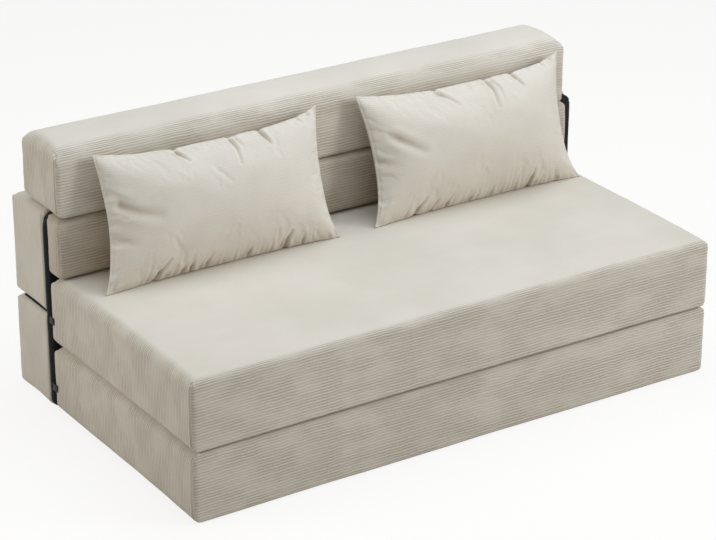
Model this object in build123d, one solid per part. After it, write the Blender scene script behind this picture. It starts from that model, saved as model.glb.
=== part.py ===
from build123d import *
import os
from math import cos, degrees, radians, sin

# Folding sofa bed of covered foam sections, in millimetres.
# Two seat sections lie one on the other and are sewn together along their front edge,
# so the upper one turns over forwards and makes the bed longer.
# Two rear blocks stand behind them as one back, with black padded cloth on their front,
# a thin front pad over the upper block, a loose bolster on top and two loose pillows.
# While it is built, X runs from the left end, Y backwards from the seat's front
# and Z up from the floor. The finished pieces are then centred over the floor.

# Seat sections
seat_length = 1524.0
seat_depth = 708.0
lower_seat_height = 184.5
upper_seat_height = 185.5
seat_crown = 6.0
seat_front_round = 10.0
upper_seat_top_round = 18.0
seat_rear_round = 40.0
seat_end_round = 24.0
seat_side_draw = 3.0
fold_gap = 1.0

# Base cloth under the lower seat section
base_cloth_thickness = 1.0
base_cloth_inset = 26.0

# Rear blocks of the back
back_length = 1606.0
back_thickness = 176.0
lower_back_height = 259.0
upper_back_height = 275.0
back_round = 38.0
back_front_round = 10.0
back_end_round = 22.0
back_side_draw = 3.0
back_seam_gap = 1.0

# Black padded cloth on the front of the rear blocks
backing_thickness = 20.0
backing_corner_round = 42.0
backing_edge_round = 6.0
backing_foot_gap = 6.0
seat_to_backing_gap = 3.0

# Front pad over the upper rear block
pad_length = 1547.0
pad_thickness = 65.0
pad_crown = 4.0
pad_edge_round = 20.0
pad_rear_round = 6.0
pad_top_corner_round = 38.0
pad_foot_corner_round = 22.0
pad_to_seat_gap = 1.0

# Bolster
bolster_length = 1535.0
bolster_depth = 188.0
bolster_height = 178.0
bolster_crown = 12.0
bolster_round = 40.0
bolster_foot_round = 18.0
bolster_rear_round = 32.0
bolster_end_round = 34.0
bolster_side_draw = 3.0

# Pillows
pillow_width = 655.0
pillow_height = 342.0
pillow_thickness = 142.0
pillow_edge_thickness = 5.0
pillow_lean = 19.0
left_pillow_centre = 397.0
right_pillow_centre = 1173.0
pillow_case_thickness = 2.0
pillow_case_hem = 14.0

# Covers and foam
cover_thickness = 3.0
foam_fit = 0.2
vertical_edge_round = 6.0

# Cloth leaves that hinge the seat sections, and the black cloth in the seam of the back
hinge_leaf_thickness = 0.4
hinge_leaf_depth = 46.0
hinge_leaf_end_inset = 30.0
seam_cloth_thickness = 0.6
seam_cloth_inset = 8.0

# Webbing tabs round the rear corners of the seat sections
tab_height = 19.0
tab_thickness = 2.0
tab_end_reach = 23.0
tab_rear_reach = 34.0
tab_rise = 59.0

# Zips of the covers
zip_end_gap = 92.0
zip_bends = 7
zip_tape_thickness = 0.6
zip_tape_width = 18.0
zip_coil_width = 5.0
zip_coil_height = 2.0
slider_length = 15.0
slider_width = 10.0
slider_height = 5.0
slider_park = 12.0
pull_length = 30.0
pull_width = 7.0
pull_thickness = 1.4
pull_hole_radius = 1.6
zip_turn = -45.0

# Clearances
body_clearance = 0.5
contact_clearance = 0.3
seat_contact = 0.1

# Shares of the pillow's half width, with the height and thickness that it has there
pillow_station_shares = (0.0, 0.3, 0.6, 0.82, 0.94, 1.0)
pillow_height_shares = (0.915, 0.92, 0.935, 0.962, 0.988, 1.0)
pillow_thickness_shares = (1.0, 0.96, 0.8, 0.54, 0.26, 0.0)

# Places that follow from the sizes
lower_seat_foot = base_cloth_thickness
lower_seat_top = lower_seat_foot + lower_seat_height
upper_seat_foot = lower_seat_top + fold_gap
upper_seat_edge_top = upper_seat_foot + upper_seat_height
backing_front = seat_depth + seat_to_backing_gap
back_front = backing_front + backing_thickness
back_rear = back_front + back_thickness
upper_back_foot = lower_back_height + back_seam_gap
back_top = upper_back_foot + upper_back_height
bolster_foot = back_top + body_clearance
pad_rear = backing_front - seat_contact
pad_front = pad_rear - pad_thickness
half = 0.5
whole_left = -(contact_clearance + tab_thickness)
whole_right = back_length
whole_front = 0.0
whole_rear = back_rear
to_centre = Location((-(whole_left + whole_right) * half, -(whole_front + whole_rear) * half, 0))


def seat_top_at(depth_place):
    """Height of the upper seat section's crowned top at a distance behind its front."""
    share = (depth_place - seat_depth * half) / (seat_depth * half)
    return upper_seat_edge_top + seat_crown * (1 - share * share)


def side_outline(depth, height, top_crown, front_crown, top_round, foot_round, rear_round):
    """Section across a block: flat foot and back, crowned top or front, rounded edges."""
    front_side = Line((0, height), (0, 0))
    if front_crown > 0:
        front_side = ThreePointArc((front_crown, height), (0, height * half), (front_crown, 0))
    foot = Line(front_side @ 1, (depth, 0))
    rear_side = Line((depth, 0), (depth, height))
    top = Line((depth, height), front_side @ 0)
    if top_crown > 0:
        top = ThreePointArc((depth, height), (depth * half, height + top_crown), front_side @ 0)
    outline = make_face([front_side, foot, rear_side, top])
    front_corners = outline.vertices().sort_by(Axis.X)[:2].sort_by(Axis.Y)
    outline = fillet(front_corners[-1], top_round)
    foot_corner = outline.vertices().sort_by_distance((0, 0))[0]
    outline = fillet(foot_corner, foot_round)
    rear_corners = outline.vertices().sort_by(Axis.X)[-2:]
    return fillet(rear_corners, rear_round)


def end_outline(length, height, top_round, foot_round):
    """Front view of a block: a rectangle with its two upper and two lower corners rounded."""
    outline = Rectangle(length, height, align=(Align.MIN, Align.MIN))
    outline = fillet(outline.vertices().sort_by(Axis.Y)[-2:], top_round)
    return fillet(outline.vertices().sort_by(Axis.Y)[:2], foot_round)


def plan_outline(length, depth, draw, corner_round):
    """Plan of a block: each side is drawn in a little between its corners."""
    front_side = ThreePointArc((0, 0), (length * half, draw), (length, 0))
    right_end = ThreePointArc((length, 0), (length - draw, depth * half), (length, depth))
    rear_side = ThreePointArc((length, depth), (length * half, depth - draw), (0, depth))
    left_end = ThreePointArc((0, depth), (draw, depth * half), (0, 0))
    outline = make_face([front_side, right_end, rear_side, left_end])
    return fillet(outline.vertices(), corner_round)


class Block:
    """A boxed foam section. Its side, front and plan outlines are carried across one another,
    and what all three hold is the block. Inset makes the same form smaller all round."""

    def __init__(self, place, length, depth, height, rounds, crowns, draw):
        self.place = place
        self.length = length
        self.depth = depth
        self.height = height
        self.top_round, self.foot_round, self.rear_round, self.end_round, self.low_end_round = rounds
        self.top_crown, self.front_crown = crowns
        self.draw = draw

    def form(self, inset):
        length = self.length - 2 * inset
        depth = self.depth - 2 * inset
        height = self.height - 2 * inset
        side = side_outline(depth, height, self.top_crown, self.front_crown,
                            self.top_round - inset, self.foot_round - inset, self.rear_round - inset)
        block = extrude(Plane.YZ * side, length)
        tall = height + self.top_crown
        ends = end_outline(length, tall, self.end_round - inset, self.low_end_round - inset)
        block &= extrude(Plane.XZ * ends, -depth)
        if self.draw > 0:
            corner_round = max(vertical_edge_round - inset, vertical_edge_round * half)
            block &= extrude(plan_outline(length, depth, self.draw, corner_round), tall)
        x, y, z = self.place
        return Location((x + inset, y + inset, z + inset)) * block

    def foam(self):
        return self.form(cover_thickness + foam_fit)

    def cover(self):
        return self.form(0) - self.form(cover_thickness)


def lens(height, thickness):
    """Section of a pillow: two shallow arcs that meet in its upper and lower seam."""
    front = ThreePointArc((0, -height * half), (-thickness * half, 0), (0, height * half))
    rear = ThreePointArc((0, height * half), (thickness * half, 0), (0, -height * half))
    return make_face([front, rear])


def pillow_form(hem, wall):
    """A pillow standing upright on its middle: lens sections swell from a thin end seam to
    the middle and back, and grow a little less tall there, so its sides are drawn in."""
    half_width = pillow_width * half - hem
    height = pillow_height - 2 * hem
    swell = pillow_thickness - 2 * wall - pillow_edge_thickness
    inner = zip(pillow_station_shares, pillow_height_shares, pillow_thickness_shares)
    right_half = [(half_width * s, height * h, pillow_edge_thickness + swell * t) for s, h, t in inner]
    left_half = [(-s, h, t) for s, h, t in reversed(right_half[1:])]
    sections = [Plane.YZ.offset(s) * lens(h, t) for s, h, t in left_half + right_half]
    return loft(sections)


def lean_pillow(solid, centre, shift):
    """Leans a pillow back and moves it to its place on the seat."""
    return Location((centre, shift[0], shift[1])) * (Rotation(-pillow_lean, 0, 0) * solid)


def pillow_shift():
    """Where the leaning pillow goes, so that it stands on the seat and leans on the back."""
    box = (Rotation(-pillow_lean, 0, 0) * pillow_form(0, 0)).bounding_box()
    back_place = pad_front - body_clearance - box.max.Y
    foot_place = back_place - pillow_height * half * sin(radians(pillow_lean))
    return back_place, seat_top_at(foot_place) + body_clearance - box.min.Z


def polar(centre, radius, angle):
    """Point at a radius and an angle, in degrees, from a centre."""
    return centre[0] + radius * cos(radians(angle)), centre[1] + radius * sin(radians(angle))


def bent_strip(centre, radius, thickness, width, bends):
    """Section of a strip that lies on a round edge: flat lengths between even bends, each
    touching the radius at its middle, so the strip stays outside the round."""
    reach = degrees(width * half / radius)
    step = 2 * reach / bends
    stretch = 1 / cos(radians(step * half))
    angles = [zip_turn - reach + step * n for n in range(bends + 1)]
    inner = [polar(centre, radius * stretch, angle) for angle in angles]
    outer = [polar(centre, (radius + thickness) * stretch, angle) for angle in reversed(angles)]
    return make_face(Polyline(*inner, *outer, close=True))


class Zip:
    """The zip of a cover, on the round of its lower rear edge, with its slider."""

    def __init__(self, block):
        x, y, z = block.place
        self.centre = (y + block.depth - block.rear_round, z + block.rear_round)
        self.radius = block.rear_round + seat_contact
        self.left = x + zip_end_gap
        self.length = block.length - 2 * zip_end_gap

    def chain(self):
        tape = bent_strip(self.centre, self.radius, zip_tape_thickness, zip_tape_width, zip_bends)
        coil = bent_strip(self.centre, self.radius, zip_tape_thickness + zip_coil_height, zip_coil_width, 1)
        return Pos(self.left, 0, 0) * extrude(Plane.YZ * (tape + coil), self.length)

    def slider(self):
        over = (Align.CENTER, Align.CENTER, Align.MIN)
        body = fillet(Box(slider_length, slider_width, slider_height, align=over).edges().filter_by(Axis.Z),
                      slider_width / 4)
        channel_width = zip_coil_width + 2 * contact_clearance
        channel_height = zip_coil_height + contact_clearance
        body -= Box(2 * slider_length, channel_width, channel_height, align=over)
        pull_start = slider_length / 4
        pull = Box(pull_length, pull_width, pull_thickness, align=(Align.MIN, Align.CENTER, Align.MIN))
        pull = fillet(pull.edges().filter_by(Axis.Z), pull_width / 3)
        pull -= Pos(pull_length - 2 * pull_hole_radius, 0, 0) * Cylinder(pull_hole_radius, 4 * pull_thickness)
        body += Pos(pull_start, 0, slider_height - pull_thickness * half) * pull
        origin_y, origin_z = polar(self.centre, self.radius + zip_tape_thickness + contact_clearance, zip_turn)
        out = (0, cos(radians(zip_turn)), sin(radians(zip_turn)))
        parked = self.left + slider_park
        on_zip = Plane(origin=(parked, origin_y, origin_z), x_dir=(1, 0, 0), z_dir=out)
        return on_zip.location * body


def seat_tabs(section_foot):
    """Webbing tabs folded round both rear corners of a seat section, on its end and its rear."""
    low = section_foot + tab_rise
    tabs = []
    for end, outward in ((0, -1), (seat_length, 1)):
        end_face = end + outward * contact_clearance
        rear_face = seat_depth + contact_clearance
        end_outer = end_face + outward * tab_thickness
        rear_outer = rear_face + tab_thickness
        rear_inner_end = end - outward * tab_rear_reach
        points = [(end_face, seat_depth - tab_end_reach), (end_outer, seat_depth - tab_end_reach),
                  (end_outer, rear_outer), (rear_inner_end, rear_outer), (rear_inner_end, rear_face),
                  (end_face, rear_face)]
        outline = make_face(Polyline(*points, close=True))
        tabs.append(Pos(0, 0, low) * extrude(outline, tab_height))
    return Compound(tabs)


def hinge_leaf(low):
    """One leaf of the cloth hinge, flat between the seat sections behind their front seam."""
    leaf_length = seat_length - 2 * hinge_leaf_end_inset
    corner = (Align.MIN, Align.MIN, Align.MIN)
    leaf = Box(leaf_length, hinge_leaf_depth, hinge_leaf_thickness, align=corner)
    return Pos(hinge_leaf_end_inset, 0, low) * leaf


def backing(foot, height, top_round):
    """Black padded cloth on the front of a rear block, with soft edges to its front."""
    outline = Rectangle(back_length, height, align=(Align.MIN, Align.MIN))
    if top_round > 0:
        outline = fillet(outline.vertices().sort_by(Axis.Y)[-2:], top_round)
    slab = extrude(Plane.XZ * outline, -(backing_thickness - seat_contact))
    slab = fillet(slab.faces().sort_by(Axis.Y)[0].edges(), backing_edge_round)
    return Pos(0, backing_front, foot) * slab


def base_cloth():
    """Non-slip cloth under the lower seat section, which stands on it."""
    cloth = Rectangle(seat_length - 2 * base_cloth_inset, seat_depth - 2 * base_cloth_inset)
    cloth = fillet(cloth.vertices(), base_cloth_inset)
    return Pos(seat_length * half, seat_depth * half, 0) * extrude(cloth, base_cloth_thickness)


def back_seam_cloth():
    """Black cloth in the seam between the two rear blocks."""
    slack = (back_seam_gap - seam_cloth_thickness) * half
    cloth_depth = back_thickness - back_round
    corner = (Align.MIN, Align.MIN, Align.MIN)
    cloth = Box(back_length - 2 * seam_cloth_inset, cloth_depth, seam_cloth_thickness, align=corner)
    return Pos(seam_cloth_inset, back_front, lower_back_height + slack) * cloth


# Each row holds the rounds of the front's top and foot edge, the rear edges and the ends
lower_seat_rounds = (seat_front_round, seat_front_round, seat_rear_round, seat_end_round, seat_end_round)
upper_seat_rounds = (upper_seat_top_round, *lower_seat_rounds[1:])
back_rounds = (back_front_round, back_front_round, back_round, back_end_round, back_end_round)
bolster_rounds = (bolster_round, bolster_foot_round, bolster_rear_round, bolster_end_round,
                  bolster_end_round)
pad_rounds = (pad_edge_round, pad_edge_round, pad_rear_round, pad_top_corner_round,
              pad_foot_corner_round)

pad_foot = seat_top_at(pad_front) + pad_to_seat_gap
pad_height = back_top - pad_foot

blocks = {
    "lower_seat": Block((0, 0, lower_seat_foot), seat_length, seat_depth, lower_seat_height,
                        lower_seat_rounds, (0, 0), seat_side_draw),
    "upper_seat": Block((0, 0, upper_seat_foot), seat_length, seat_depth, upper_seat_height,
                        upper_seat_rounds, (seat_crown, 0), seat_side_draw),
    "lower_back": Block((0, back_front, 0), back_length, back_thickness, lower_back_height,
                        back_rounds, (0, 0), back_side_draw),
    "upper_back": Block((0, back_front, upper_back_foot), back_length, back_thickness,
                        upper_back_height, back_rounds, (0, 0), back_side_draw),
    "bolster": Block((0, pad_front, bolster_foot), bolster_length, bolster_depth, bolster_height,
                     bolster_rounds, (bolster_crown, 0), bolster_side_draw),
    "front_pad": Block((0, pad_front, pad_foot), pad_length, pad_thickness, pad_height,
                       pad_rounds, (0, pad_crown), 0),
}
zipped_blocks = ("lower_seat", "upper_seat", "lower_back", "upper_back", "bolster")

pieces = {}
for name, block in blocks.items():
    pieces[name + "_foam"] = block.foam()
    pieces[name + "_cover"] = block.cover()

for name in zipped_blocks:
    cover_zip = Zip(blocks[name])
    pieces[name + "_zip"] = cover_zip.chain()
    pieces[name + "_zip_slider"] = cover_zip.slider()

shift = pillow_shift()
pillow_insert = pillow_form(pillow_case_hem, pillow_case_thickness + foam_fit)
pillow_case = pillow_form(0, 0) - pillow_form(pillow_case_hem - foam_fit, pillow_case_thickness)
for side, centre in (("left", left_pillow_centre), ("right", right_pillow_centre)):
    pieces[side + "_pillow_insert"] = lean_pillow(pillow_insert, centre, shift)
    pieces[side + "_pillow_case"] = lean_pillow(pillow_case, centre, shift)

pieces["lower_seat_base_cloth"] = base_cloth()
pieces["lower_seat_hinge_leaf"] = hinge_leaf(lower_seat_top)
pieces["upper_seat_hinge_leaf"] = hinge_leaf(upper_seat_foot - hinge_leaf_thickness)
pieces["lower_seat_tabs"] = seat_tabs(lower_seat_foot)
pieces["upper_seat_tabs"] = seat_tabs(upper_seat_foot)
pieces["lower_back_backing"] = backing(backing_foot_gap, lower_back_height - backing_foot_gap, 0)
pieces["upper_back_backing"] = backing(upper_back_foot, upper_back_height, backing_corner_round)
pieces["back_seam_cloth"] = back_seam_cloth()

os.makedirs("parts", exist_ok=True)
for name, piece in pieces.items():
    export_step(to_centre * piece, f"parts/{name}.step")

hinge_y = -fold_gap * half
hinge_z = lower_seat_top + fold_gap * half
print("seat fold axis", hinge_y, hinge_z)
print("pad foot", pad_foot, "pad height", pad_height, "pillow shift", shift)
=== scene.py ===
import math

import bpy
import numpy as np
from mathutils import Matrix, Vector


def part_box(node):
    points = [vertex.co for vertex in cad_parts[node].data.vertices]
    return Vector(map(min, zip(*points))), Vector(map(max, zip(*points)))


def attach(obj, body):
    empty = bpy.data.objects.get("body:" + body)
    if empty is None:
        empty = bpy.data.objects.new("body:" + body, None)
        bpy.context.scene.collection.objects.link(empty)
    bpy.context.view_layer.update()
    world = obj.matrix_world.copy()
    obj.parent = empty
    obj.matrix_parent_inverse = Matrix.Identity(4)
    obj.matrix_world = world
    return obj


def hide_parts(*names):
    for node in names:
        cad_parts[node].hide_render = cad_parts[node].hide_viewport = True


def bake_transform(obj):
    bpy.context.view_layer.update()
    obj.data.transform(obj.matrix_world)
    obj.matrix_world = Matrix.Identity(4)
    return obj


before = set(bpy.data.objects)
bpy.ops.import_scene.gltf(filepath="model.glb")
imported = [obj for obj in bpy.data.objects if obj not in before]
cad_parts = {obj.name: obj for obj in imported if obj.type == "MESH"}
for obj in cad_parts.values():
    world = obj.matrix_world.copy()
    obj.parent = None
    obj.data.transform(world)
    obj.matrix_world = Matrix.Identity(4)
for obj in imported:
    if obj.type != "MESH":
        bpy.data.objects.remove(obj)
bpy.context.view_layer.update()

# A folding sofa bed of foam sections in ribbed beige corduroy: two seat sections, two rear
# blocks with black padded cloth on their front, a front pad, a bolster and two pillows.
# Metres throughout. X runs to the right, Y backwards and Z up from the floor.

TURN = 2 * math.pi


# ---- shader helpers

def operator(operation, swapped=False):
    """A method that adds one Math node. Swapped, the other value comes first."""
    def method(self, other):
        return self.shader.math(operation, *((other, self) if swapped else (self, other)))
    return method


class Sock:
    """A node's output that takes part in sums."""

    def __init__(self, shader, socket):
        self.shader, self.socket = shader, socket

    __add__ = __radd__ = operator("ADD")
    __sub__, __rsub__ = operator("SUBTRACT"), operator("SUBTRACT", swapped=True)
    __mul__ = __rmul__ = operator("MULTIPLY")
    __truediv__, __pow__ = operator("DIVIDE"), operator("POWER")


class Shader:
    """The nodes of a material or of the world, with one method that adds any node."""

    def __init__(self, name, owners=bpy.data.materials):
        self.owner = owners.new(name)
        self.owner.use_nodes = True
        self.tree = self.owner.node_tree
        self.tree.nodes.clear()

    def node(self, kind, settings=None, inputs=None, output=0):
        """Adds a node with its settings, values and links, and gives one of its outputs."""
        new = self.tree.nodes.new("ShaderNode" + kind)
        for key, value in (settings or {}).items():
            setattr(new, key, value)
        for key, value in (inputs or {}).items():
            if isinstance(value, Sock):
                self.tree.links.new(value.socket, new.inputs[key])
            else:
                new.inputs[key].default_value = value
        return Sock(self, new.outputs[output]) if new.outputs else None

    def math(self, operation, a, b=0.0):
        return self.node("Math", {"operation": operation}, {0: a, 1: b})

    def wave(self, value, length):
        """A cosine that starts again after each length."""
        return self.math("COSINE", value * (TURN / length))

    def noise(self, vector, scale, detail=2.0, roughness=0.5):
        return self.node("TexNoise", None, {"Vector": vector, "Scale": scale, "Detail": detail,
                                            "Roughness": roughness})

    def ramp(self, factor, start, end, low=0.0, high=1.0):
        """A smooth ramp from low at the start to high at the end, as a Map Range node."""
        return self.node("MapRange", {"interpolation_type": "SMOOTHSTEP"},
                         {"Value": factor, "From Min": start, "From Max": end,
                          "To Min": low, "To Max": high})

    def blend(self, factor, a, b):
        """Mix of two colours."""
        return self.node("Mix", {"data_type": "RGBA", "clamp_factor": True}, {0: factor, 6: a, 7: b}, 2)

    def vector(self, x, y):
        return self.node("CombineXYZ", None, {0: x, 1: y})

    def cloth(self):
        """U and V of the Cloth map, in metres along the cloth and across it."""
        axes = self.node("SeparateXYZ", None, {0: self.node("UVMap", {"uv_map": "Cloth"})})
        return [Sock(self, socket) for socket in axes.socket.node.outputs[:2]]

    def place(self):
        return self.node("TexCoord", None, None, "Object")

    def attribute(self, name):
        return self.node("Attribute", {"attribute_name": name}, None, 2)

    def seen(self):
        """1 for rays from the camera, from a reflection or through glass, and 0 for the rest."""
        rays = self.node("LightPath").socket.node.outputs
        camera, glossy, through = (Sock(self, rays["Is " + word + " Ray"])
                                   for word in ("Camera", "Glossy", "Transmission"))
        return self.math("MAXIMUM", self.math("MAXIMUM", camera, glossy), through)

    def bump(self, height, distance, strength):
        return self.node("Bump", None, {"Strength": strength, "Distance": distance, "Height": height})

    def surface(self, inputs):
        """The Principled shader: numbers and colours are set on its own sockets, and what
        changes over the surface is linked."""
        self.node("OutputMaterial", None, {0: self.node("BsdfPrincipled", None, inputs)})
        return self.owner


def rgb(r, g, b):
    """A colour given as it looks on a screen, 0 to 255, turned into linear light."""
    share = np.array([r, g, b]) / 255
    linear = np.where(share <= 0.04045, share / 12.92, ((share + 0.055) / 1.055) ** 2.4)
    return (*map(float, linear), 1.0)


# ---- materials

def corduroy(name, pale, deep, valley, rib, depth, waver, contrast, hush):
    """Ribbed pile cloth. Each rib runs along U of the Cloth map: a raised cosine with a narrow
    valley, every second one a little higher, that wavers with noise and is beaded along its
    length. Patches where the pile lies over its valleys hush the ribs, and so does an attribute
    that on the foam sections is painted light: faces that look up get fainter dark valleys, so
    they render paler, and flatter rib bumps. A second attribute paints shade towards the valley colour."""
    s = Shader(name)
    along, across = s.cloth()
    place = s.place()
    drift = s.noise(s.vector(along * 9.0, across * 6.0), 1.6, 2.0) - 0.5
    fine_drift = s.noise(s.vector(along * 42.0, across * 30.0), 1.6, 1.0) - 0.5
    turn = (across + drift * waver + fine_drift * (waver * 0.5)) / rib
    ridge = (s.wave(turn, 1.0) * 0.5 + 0.5) ** 0.62
    second = s.wave(turn, 2.0)
    row = s.math("FLOOR", turn + 0.5)
    start = s.node("TexWhiteNoise", {"noise_dimensions": "1D"}, {"W": row})
    bead = s.noise(s.vector(along * 95.0, row * 3.7 + start * 9.0), 1.6, 2.0, 0.6)
    pile = s.noise(s.vector(along * 1500.0, across * 2300.0), 1.0, 3.0, 0.65)
    patch = s.noise(place, 3.2, 3.0, 0.55)
    cloud = s.noise(place, 11.0, 2.0, 0.5)
    lying = s.noise(s.vector(along * 9.0, across * 16.0), 1.0, 2.0, 0.5)
    height = ridge + second * 0.1 + (bead - 0.5) * 0.3 + (pile - 0.5) * 0.3
    # Painted top light: the attribute read here is high on faces that look up, where it fades the dark
    # rib valleys so tops render paler; it also flattens their rib bumps.
    calm = (1 - s.attribute("rib_calm_and_painted_top_light") * hush) * s.ramp(lying, 0.36, 0.6, 0.45, 1.0)
    tone = s.blend(s.ramp(patch, 0.32, 0.68), deep, pale)
    tone = s.blend(s.ramp(cloud, 0.4, 0.7, high=0.22), tone, pale)
    shade = (1 - ridge) * 0.8 + (0.5 - bead) * 0.26 + (0.5 - pile) * 0.2 - second * 0.08
    shade = s.math("MAXIMUM", shade * calm, 0.0)
    tone = s.blend(s.math("MINIMUM", shade * contrast, 1.0), tone, valley)
    # Painted shade: the fold attribute blends the cloth towards the valley colour in the pillows'
    # creases and along their foot, where shade falls.
    tone = s.blend(s.attribute("fold") * 0.7, tone, valley)
    rough = s.math("MINIMUM", (1 - ridge) * 0.06 + pile * 0.08 + 0.86, 1.0)
    return s.surface({"Sheen Weight": 0.22, "Sheen Roughness": 0.45,
                      "Sheen Tint": (1.0, 0.97, 0.92, 1.0), "Specular IOR Level": 0.18,
                      "Base Color": tone, "Roughness": rough,
                      "Normal": s.bump(height * calm, depth, 0.9)})


def plain_weave(name, thread, dark, light, gloss, sheen):
    """Plain weave: two cosine waves, warp and weft, take turns on top in a chequer."""
    s = Shader(name)
    u, v = s.cloth()
    over = s.math("SINE", u * (math.pi / thread)) * s.math("SINE", v * (math.pi / thread))
    height = s.math("MAXIMUM", s.wave(u, thread) * 0.5 + over, s.wave(v, thread) * 0.5 - over)
    wear = s.noise(s.place(), 14.0, 4.0, 0.6)
    fluff = s.noise(s.place(), 900.0, 2.0, 0.6)
    tone = s.blend(s.ramp(height + (fluff - 0.5) * 0.6, -0.4, 1.2), dark, light)
    tone = s.blend(s.ramp(wear, 0.45, 0.75, high=0.35), tone, light)
    return s.surface({"Sheen Weight": sheen, "Sheen Roughness": 0.5, "Specular IOR Level": 0.2,
                      "Base Color": tone, "Roughness": (wear - 0.5) * 0.12 + gloss,
                      "Normal": s.bump(height, thread * 0.22, 0.8)})


def dotted_cloth(name, dark, light, dot):
    """Black padded cloth with small rubber dots in a hexagonal field: each dot is a dome from
    the distance to the nearer of two square lattices set half a step apart."""
    s = Shader(name)
    u, v = s.cloth()
    step, tall, thread = 0.011, 0.019, 0.0011
    cell_u, cell_v = s.math("PINGPONG", u, step * 0.5), s.math("PINGPONG", v, tall * 0.5)
    other_u, other_v = step * 0.5 - cell_u, tall * 0.5 - cell_v
    first, second = (s.math("SQRT", a * a + b * b) for a, b in ((cell_u, cell_v), (other_u, other_v)))
    dome = s.ramp(s.math("MINIMUM", first, second), 0.0012, 0.0021, 1.0, 0.0)
    weave = s.wave(u, thread) * s.wave(v, thread)
    fluff = s.noise(s.place(), 700.0, 2.0, 0.6)
    dust = s.noise(s.place(), 9.0, 4.0, 0.6)
    tone = s.blend(s.ramp(fluff + weave * 0.15, 0.3, 0.8), dark, light)
    tone = s.blend(s.ramp(dust, 0.5, 0.8, high=0.25), tone, light)
    return s.surface({"Sheen Weight": 0.05, "Specular IOR Level": 0.25,
                      "Base Color": s.blend(dome, tone, dot),
                      "Roughness": 0.88 - dome * 0.35 + (dust - 0.5) * 0.08,
                      "Normal": s.bump(dome + weave * 0.16 + (fluff - 0.5) * 0.2, 0.0007, 0.9)})


def webbing_cloth(name, dark, light):
    """Herringbone webbing: a slanted wave that turns back at each of its columns."""
    s = Shader(name)
    u, v = s.cloth()
    twill = s.wave(u + s.math("PINGPONG", v, 0.0024) * 1.4, 0.0011)
    fluff = s.noise(s.place(), 1100.0, 2.0, 0.6)
    tone = s.blend(s.ramp(twill + (fluff - 0.5), -0.9, 1.1), dark, light)
    return s.surface({"Specular IOR Level": 0.35, "Sheen Weight": 0.08, "Base Color": tone,
                      "Roughness": (fluff - 0.5) * 0.2 + 0.62, "Normal": s.bump(twill, 0.0003, 0.8)})


def moulded(name, colour, worn, gloss, grain, metal):
    """Moulded nylon or enamelled metal: fine grain, faint scuffs and a colour that wears pale."""
    s = Shader(name)
    speck = s.noise(s.place(), 1600.0, 3.0, 0.6)
    scuff = s.noise(s.place(), 120.0, 5.0, 0.7)
    return s.surface({"Metallic": metal, "Specular IOR Level": 0.5,
                      "Base Color": s.blend(s.ramp(scuff, 0.55, 0.8, high=0.7), colour, worn),
                      "Roughness": (speck - 0.5) * 0.16 + (scuff - 0.5) * 0.2 + gloss,
                      "Normal": s.bump(speck, grain, 0.6)})


def thread_cloth(name, colour, dark):
    """Sewing thread: a slanted wave for its twist, over a soft noise."""
    s = Shader(name)
    slant = {0: s.place(), 1: (1.0, 1.3, 1.7)}
    slant = s.node("VectorMath", {"operation": "DOT_PRODUCT"}, slant, "Value")
    twist = s.math("SINE", slant * 9000.0)
    fluff = s.noise(s.place(), 2500.0, 1.0)
    return s.surface({"Sheen Weight": 0.1, "Specular IOR Level": 0.3,
                      "Base Color": s.blend(twist * 0.3 + fluff * 0.6, dark, colour),
                      "Roughness": fluff * 0.2 + 0.6, "Normal": s.bump(twist, 0.0001, 0.6)})


# Colours are the raised pile, its deeper patches and the valleys between ribs. Rib is the
# distance from rib to rib
wide = dict(rib=0.0076, depth=0.0006, waver=0.0060, contrast=0.8, hush=0.85)
faint = dict(rib=0.0076, depth=0.0004, waver=0.0050, contrast=0.42, hush=0.8)
narrow = dict(rib=0.0054, depth=0.0002, waver=0.0080, contrast=0.32, hush=0.8)
BEIGE = corduroy("beige_corduroy", rgb(216, 208, 195), rgb(208, 201, 187), rgb(149, 134, 113), **wide)
BACK_BEIGE = corduroy("back_corduroy", rgb(216, 209, 196), rgb(210, 202, 189), rgb(158, 146, 127),
                      **faint)
PILLOW_CLOTH = corduroy("pillow_corduroy", rgb(221, 214, 202), rgb(215, 208, 195),
                        rgb(166, 146, 123), **narrow)
# The front pad's cloth is a darker, warmer copy of the beige corduroy: painted shade for the shadow
# under the bolster and between the pillows.
PAD_PAINTED_SHADE_CLOTH = corduroy("pad_corduroy_painted_shade", rgb(206, 196, 181), rgb(199, 189, 174), rgb(142, 127, 105), **wide)
BLACK_CLOTH = dotted_cloth("black_nonslip_cloth", rgb(16, 16, 17), rgb(34, 33, 33), rgb(9, 9, 9))
BLACK_WEBBING = webbing_cloth("black_webbing", rgb(9, 9, 10), rgb(32, 32, 33))
HINGE_CLOTH = plain_weave("hinge_cloth", 0.0012, rgb(154, 141, 122), rgb(184, 171, 152), 0.82, 0.1)
ZIP_TAPE = plain_weave("zip_tape", 0.0009, rgb(150, 141, 126), rgb(188, 180, 166), 0.8, 0.1)
ZIP_COIL = moulded("zip_coil", rgb(186, 179, 166), rgb(204, 199, 189), 0.42, 0.00006, 0.0)
ZIP_METAL = moulded("zip_enamel", rgb(176, 168, 153), rgb(205, 202, 196), 0.34, 0.00004, 0.35)
THREAD = thread_cloth("sewing_thread", rgb(196, 189, 177), rgb(140, 130, 115))


# ---- mesh helpers

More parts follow.
